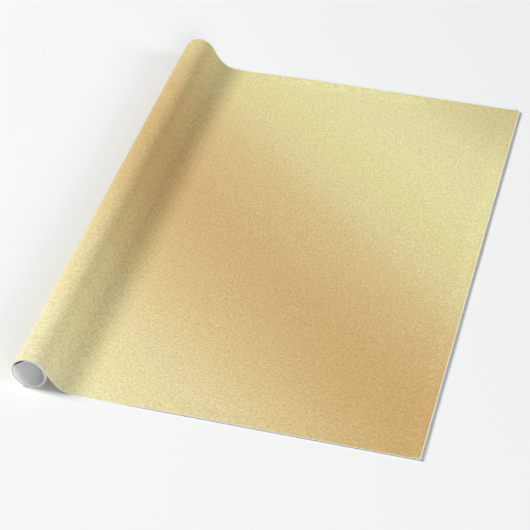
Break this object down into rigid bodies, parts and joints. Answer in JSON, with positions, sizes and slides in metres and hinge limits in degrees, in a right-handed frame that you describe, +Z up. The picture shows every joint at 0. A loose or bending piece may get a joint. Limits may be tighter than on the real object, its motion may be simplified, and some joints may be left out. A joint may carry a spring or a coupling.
{
  "type": "wrapping paper roll",
  "caption": "Roll of gold gift wrap on a board core; the printed sheet comes over the top of the roll, bends down to the table and lies flat in front of it.",
  "frame": {"origin": "centre of the footprint, on the table plane under the middle of the whole part", "axes": "+X along the laid sheet from the roll to the cut leading edge, +Y along the roll's axis, +Z up from the table"},
  "size_m": [0.5238, 0.762, 0.046],
  "materials": {
    "printed_paper": "matt pearl gold print on white paper",
    "core_board": "uncoated white-lined board, spirally wound"
  },
  "bodies": {
    "outer_turn": {"outer_turn": "printed_paper", "laid_sheet": "printed_paper"},
    "sheet_front": {"sheet_front": "printed_paper"},
    "wound_roll": {"wound_paper": "printed_paper"},
    "core": {"core_tube": "core_board"}
  },
  "joints": [
    {"name": "sheet_pull", "type": "slide", "parent": "outer_turn", "child": "sheet_front", "axis": [1, 0, 0], "range_m": [-0.28, 1.05], "deforming": ["laid_sheet"]},
    {"name": "roll_turn", "type": "hinge", "parent": "outer_turn", "child": "wound_roll", "pos_m": [-0.2389, 0, 0.023], "axis": [0, 1, 0], "range_deg": [-720, 2700]},
    {"name": "core_slide", "type": "slide", "parent": "outer_turn", "child": "core", "axis": [0, 1, 0], "range_m": [-0.7, 0.7]}
  ],
  "couplings": [
    {"joint": "roll_turn", "follows": "sheet_pull", "rad_per_m": 43.764}
  ]
}
